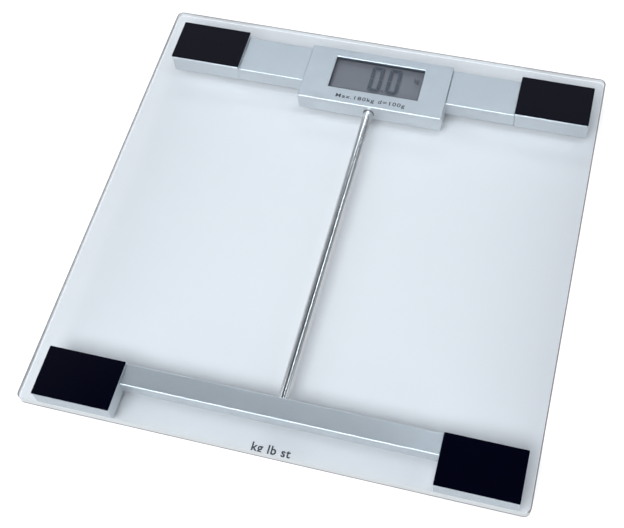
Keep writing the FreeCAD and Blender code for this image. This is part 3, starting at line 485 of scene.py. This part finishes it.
# %% Drawn chrome
def drawn_chrome():
    """Polished metal with faint lines along y, from drawing the tube through its die."""
    made = Finish("chrome")
    x, y, z = made.split(made.place())
    along = made.node("ShaderNodeCombineXYZ", values=[x, y * 0.01, z])
    lines = made.noise(0.35 * MM, 3.0, vector=along)
    patches = made.noise(15 * MM, 2.0)
    tone = made.mix(lines, (0.62, 0.605, 0.59), (0.80, 0.78, 0.76))
    return made.finish(made.skin(Base_Color=tone, Metallic=1.0,
                                 Roughness=0.10 + lines * 0.10 + patches * 0.04,
                                 Normal=made.bump(lines, 0.004 * MM, 0.5)))


chrome = drawn_chrome()
paint(chrome, nodes["cross_tube"], nodes["tube_collars"])
print("chromed: 2")

# %% [markdown]
# ## How a surface is made
# Each new piece is one array of points, rows by columns, worked out by a formula for whole
# arrays at once. The points become a mesh of four-sided faces. The first and last rows are
# closed by one flat face each, or joined to each other.

# %% Surfaces from arrays
def surface(name, points, ring=False):
    """Mesh from points of shape (rows, columns, 3). Columns wrap round, and each row is joined
    to the next. The first and last rows are joined too in a ring, and are capped otherwise."""
    rows, columns = points.shape[:2]
    index = np.arange(rows * columns).reshape(rows, columns)
    if ring:
        index = np.vstack([index, index[:1]])
    after = np.roll(index, -1, axis=1)
    quads = np.stack([index[:-1], after[:-1], after[1:], index[1:]], axis=-1).reshape(-1, 4)
    faces = quads.tolist()
    if not ring:
        faces += [index[0, ::-1].tolist(), index[-1].tolist()]
    piece = plain_mesh(name, points.reshape(-1, 3), faces)
    smooth = np.ones(len(faces), dtype=bool)
    smooth[len(quads):] = False
    piece.data.polygons.foreach_set("use_smooth", smooth)
    return piece


def outline(half_x, half_y, corner, inset, steps=8):
    """Rounded rectangle of the given half sizes, pulled in by inset, as an array of (x, y). Each
    quarter circle sits at a corner centre; where inset passes the corner's radius, the
    circle shrinks to a point and its centre moves in."""
    angle = np.linspace(0, np.pi / 2, steps)[None, :] + np.pi / 2 * np.arange(4)[:, None]
    side = np.array([[1, 1], [-1, 1], [-1, -1], [1, -1]])[:, None, :]
    centre = np.array([half_x, half_y]) - max(corner, inset)
    ring = side * centre + max(corner - inset, 0) * np.stack([np.cos(angle), np.sin(angle)], -1)
    return ring.reshape(-1, 2)


def slab(name, low, high, corner, profile, finish, body):
    """Plate between two corners of a box. The profile is a list of (inset, height) pairs, where
    height runs from 0 at low.z to 1 at high.z."""
    centre = (np.array(low) + np.array(high)) / 2
    half = (np.array(high) - np.array(low)) / 2
    rows = []
    for inset, height in profile:
        ring = outline(half[0], half[1], corner, inset)
        level = low.z + (high.z - low.z) * height
        rows.append(np.column_stack([ring + centre[:2], np.full(len(ring), level)]))
    piece = surface(name, np.array(rows))
    paint(finish, piece)
    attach(piece, body)
    return piece


def lathe(name, centre, profile, finish, body, around="Z", steps=96):
    """Turned piece: each (radius, height) pair of the profile becomes a circle about the axis
    through centre."""
    angle = np.linspace(0, 2 * np.pi, steps, endpoint=False)
    radius, height = np.array(profile).T
    wide = radius[:, None] * np.cos(angle)
    deep = radius[:, None] * np.sin(angle)
    level = np.broadcast_to(height[:, None], wide.shape)
    axes = {"Z": (wide, deep, level), "Y": (deep, level, wide)}[around]
    piece = surface(name, np.stack(axes, axis=-1) + np.array(centre))
    paint(finish, piece)
    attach(piece, body)
    return piece


def eased(width, drop=1.0):
    """Profile of a plate whose upper and lower edges are rounded by width, as a share drop of
    its height at each end."""
    turn = np.linspace(0, np.pi / 2, 5)
    lower = [(width * (1 - math.sin(t)), drop * (1 - math.cos(t))) for t in turn]
    return lower + [(inset, 1 - height) for inset, height in reversed(lower)]


print("profile of an eased edge:", len(eased(MM)), "rows")

# %% [markdown]
# ## Glass plate
# Tempered glass is cut, ground along its rim, polished and only then heated. Its corners
# are rounded so that they can't chip, and its edges are barely eased. The thin dark line
# round the plate comes partly from this easing and partly from painted shade on the rim.

# %% Glass plate
plate = slab("glass_plate", glass_low, glass_high, glass_corner, eased(0.3 * MM, 0.05),
             plate_glass, "platform")
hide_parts("glass_platform")
print("plate mm:", [round(v * 1000, 1) for v in glass_high - glass_low])

# %% [markdown]
# ## Tube
# A drawn and plated steel tube joins the front bar to the display, and carries the front
# sensors' leads. Its ends are rolled over. It replaces the plain cylinder so that reflections run
# along it without facets.

# %% Cross tube
tube_low, tube_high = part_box("cross_tube")
tube_radius = (tube_high.x - tube_low.x) / 2
roll = 0.4 * MM
turn = np.linspace(0, np.pi / 2, 6)
front_end = [(tube_radius - roll + roll * math.sin(t), tube_low.y + roll - roll * math.cos(t))
             for t in turn]
back_end = [(r, tube_low.y + tube_high.y - y) for r, y in reversed(front_end)]
tube = lathe("tube", (tube_low.x + tube_radius, 0, (tube_low.z + tube_high.z) / 2),
             front_end + back_end, chrome, "platform", around="Y", steps=128)
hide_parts("cross_tube")
print("tube radius mm:", round(tube_radius * 1000, 2))

# %% [markdown]
# ## Adhesive pads
# The glass is held by black foam pads. Where a pad is pressed on the glass there's no air
# left between them, so the pad's upper face lies a hair inside the glass: seen from
# above, it's deep black with no second reflection.

# %% Pads
sunk = 0.03 * MM
for corner_name in ("rear_left", "rear_right", "front_left", "front_right"):
    low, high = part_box("adhesive_pad_" + corner_name)
    pad = slab("foam_pad_" + corner_name, low, high + Vector((0, 0, sunk)), 0.5 * MM,
               [(0.9 * MM, 0), (0.9 * MM, 0.78), (0.05 * MM, 0.80), (0, 0.83), (0, 1)],
               finishes["black_adhesive"], "platform")
    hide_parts("adhesive_pad_" + corner_name)
print("pads: 4")

# %% [markdown]
# ## Rubber feet
# Each foot is moulded rubber with rings cut in its sole, so that it grips a tiled floor
# where the sole stays wet. The side bulges a little.

# %% Feet
def foot_profile(radius, height):
    """Sole with three rings cut in it, out to a rounded edge, then a side that bulges by a
    fiftieth of its radius."""
    rings = np.linspace(0.05, 0.86, 40)
    cut = 0.18 * height * np.clip(np.sin(rings * 3.5 * 2 * np.pi), 0, 1) ** 0.5
    sole = list(zip(radius * rings, cut))
    climb = np.linspace(0, 1, 12)
    side = radius * (0.90 + 0.10 * np.sin(np.pi / 2 * np.clip(climb * 4, 0, 1)))
    return [(radius * 0.01, 0)] + sole + list(zip(side, height * climb)) + [(radius * 0.9, height)]


for corner_name in ("rear_left", "rear_right", "front_left", "front_right"):
    low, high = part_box("rubber_foot_" + corner_name)
    radius = (high.x - low.x) / 2
    foot = lathe("tread_foot_" + corner_name, ((low.x + high.x) / 2, (low.y + high.y) / 2, low.z),
                 foot_profile(radius, high.z - low.z), finishes["foot_rubber"],
                 "foot_" + corner_name)
    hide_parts("rubber_foot_" + corner_name)
print("foot radius mm:", round(radius * 1000, 2))

# %% [markdown]
# ## Display
# A liquid crystal display is a sandwich: a grey reflector at the back, and dark segments
# between two thin sheets of glass in front of it. Because the segments float a little over the
# reflector, they throw a faint shadow on it, which makes real digits look doubled.

# %% Display panel
lcd_low, lcd_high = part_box("lcd_panel")
housing_low, housing_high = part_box("display_housing")
cell_height = 1.1 * MM
segment_depth = 0.25 * MM
digit_lift = 1.2 * MM
first_digit, second_digit, point_place = -0.9 * MM, 11.3 * MM, 5.3 * MM
waist_gap = 0.25 * MM
reflector = slab("lcd_reflector", lcd_low, lcd_high - Vector((0, 0, cell_height)), 0.6 * MM,
                 eased(0.15 * MM, 0.1), finishes["lcd_face"], "platform")
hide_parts("lcd_panel")


def flat_shapes(name, outlines, level, finish, body):
    """One mesh of flat faces at a height, from arrays of (x, y) that run anticlockwise."""
    sizes = [len(shape) for shape in outlines]
    flat = np.vstack(outlines)
    points = np.column_stack([flat, np.full(len(flat), level)])
    starts = np.concatenate([[0], np.cumsum(sizes)[:-1]])
    faces = [list(range(start, start + size)) for start, size in zip(starts, sizes)]
    piece = plain_mesh(name, points, faces)
    paint(finish, piece)
    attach(piece, body)
    return piece


def bar(start, end, half, ends):
    """Straight bar of a digit from start to end, half as wide to each side. Each end is (left,
    right): how far the bar's two sides run on past that end, so that a mitred corner can be
    long outside and short inside."""
    start, end = np.array(start), np.array(end)
    along = (end - start) / np.linalg.norm(end - start)
    across = np.array([-along[1], along[0]]) * half
    (start_left, start_right), (end_left, end_right) = ends
    return np.array([start - across - along * start_right, end - across + along * end_right,
                     end + along * (end_left + end_right) / 2, end + across + along * end_left,
                     start + across - along * start_left,
                     start - along * (start_left + start_right) / 2])


def zero(centre, size, stroke, gap):
    """The six outer bars of a seven-bar digit, run anticlockwise from the lower left. Corners are
    mitred and waists are cut square."""
    half = np.array(size) / 2 - stroke / 2
    corner = [np.array(centre) + half * np.array(s) for s in ((-1, -1), (1, -1), (1, 1), (-1, 1))]
    waist = [np.array(centre) + half * np.array(s) for s in ((1, 0), (-1, 0))]
    mitre, flat = (-stroke / 2 - gap, stroke * 0.3 - gap), (-gap, -gap)
    runs = [(corner[0], corner[1], (mitre, mitre)), (corner[1], waist[0], (mitre, flat)),
            (waist[0], corner[2], (flat, mitre)), (corner[2], corner[3], (mitre, mitre)),
            (corner[3], waist[1], (mitre, flat)), (waist[1], corner[0], (flat, mitre))]
    return [bar(start, end, stroke / 2, ends) for start, end, ends in runs]


digit_size = (8.5 * MM, 20.6 * MM)
digit_y = (lcd_low.y + lcd_high.y) / 2 + digit_lift
stroke = 2.35 * MM
middle = (lcd_low.x + lcd_high.x) / 2
bars = zero((middle + first_digit, digit_y), digit_size, stroke, waist_gap)
bars += zero((middle + second_digit, digit_y), digit_size, stroke, waist_gap)
point_x, point_y = middle + point_place, digit_y - digit_size[1] / 2 + stroke / 2
dot = 0.75 * MM * np.array([(-1, -1), (1, -1), (1, 1), (-1, 1)])
bars.append(np.array([point_x, point_y]) + dot)
segment_level = lcd_high.z - segment_depth
digits = flat_shapes("lcd_digits", bars, segment_level, finishes["lcd_segment"], "platform")
print("segments:", len(bars))

# %% [markdown]
# The window is a hole in the housing's roof. A dark ring lines it as painted shade in the
# recess, which gives the window a dark rim at its far side.

# %% Window shade ring
lap_x, lap_y = 2.15 * MM, 1.9 * MM
shade_ring_gap, shade_ring_wall, shade_ring_drop = 0.25 * MM, 0.2 * MM, 0.45 * MM
window_half = ((lcd_high.x - lcd_low.x) / 2 - lap_x, (lcd_high.y - lcd_low.y) / 2 - lap_y)
window_y = (lcd_low.y + lcd_high.y) / 2


def shade_ring(name, half, centre_y, wall, low, high, finish, body):
    """Rectangular ring with a square section, dark as painted shade in the window's recess: its
    inner side follows the window, and its outer side lies wall further out."""
    rows = []
    for outward, level in ((0, low), (wall, low), (wall, high), (0, high)):
        edge = outline(half[0] + outward, half[1] + outward, 0.4 * MM, 0)
        rows.append(np.column_stack([edge + [0, centre_y], np.full(len(edge), level)]))
    piece = surface(name, np.array(rows), ring=True)
    paint(finish, piece)
    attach(piece, body)
    return piece


inner_half = [side - shade_ring_gap for side in window_half]
# A dark ring in the window's recess: painted shade.
mask = shade_ring("window_shade_ring", inner_half, window_y, shade_ring_wall, lcd_high.z,
              housing_high.z - shade_ring_drop, finishes["window_mask"], "platform")
print("window mm:", [round(2000 * side, 1) for side in window_half])

# %% [markdown]
# Three prints: the display's unit, the capacity under the window, and the units that the
# scale can show, which is printed under the front strip of the glass.

# %% Lettering
capital = 0.73


def lettering(name, words, centre, width, height, finish, body, spacing=1.0, bold=0.0):
    """Words as a flat mesh, fitted to a width and a capital's height, in the middle of centre."""
    curve = bpy.data.curves.new(name, "FONT")
    curve.body = words
    curve.space_character = spacing
    curve.offset = bold
    curve.resolution_u = 4
    shape = bpy.data.objects.new(name + "_curve", curve)
    bpy.context.scene.collection.objects.link(shape)
    bpy.context.view_layer.update()
    finished = shape.evaluated_get(bpy.context.evaluated_depsgraph_get())
    mesh = bpy.data.meshes.new_from_object(finished)
    bpy.data.objects.remove(shape)
    mesh.name = name
    points = np.empty(len(mesh.vertices) * 3)
    mesh.vertices.foreach_get("co", points)
    points = points.reshape(-1, 3)
    low, high = points.min(axis=0), points.max(axis=0)
    scale = np.array([width / (high[0] - low[0]), height / capital, 0])
    origin = np.array([(low[0] + high[0]) / 2, capital / 2, 0])
    points = (points - origin) * scale + np.array(centre)
    mesh.vertices.foreach_set("co", points.ravel())
    mesh.update()
    piece = bpy.data.objects.new(name, mesh)
    bpy.context.scene.collection.objects.link(piece)
    mesh.materials.clear()
    paint(finish, piece)
    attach(piece, body)
    return piece


unit_sign = lettering("lcd_unit", "kg", (middle + 26.6 * MM, digit_y + 4.4 * MM, segment_level),
                      3.6 * MM, 3.6 * MM, finishes["lcd_segment"], "platform", bold=0.02)
ink = 0.02 * MM
capacity = lettering("capacity_print", "Max.180kg d=100g",
                     (0, housing_low.y + 5.6 * MM, housing_high.z + ink), 47.5 * MM, 3.1 * MM,
                     finishes["dark_print"], "platform", spacing=1.22, bold=0.02)
unit_print = lettering("unit_print", "kg lb st",
                       (3.4 * MM, glass_low.y + 4.8 * MM, glass_low.z + sunk), 22.8 * MM,
                       5.2 * MM, finishes["dark_print"], "platform", spacing=1.1, bold=0.025)
print("prints: 3")
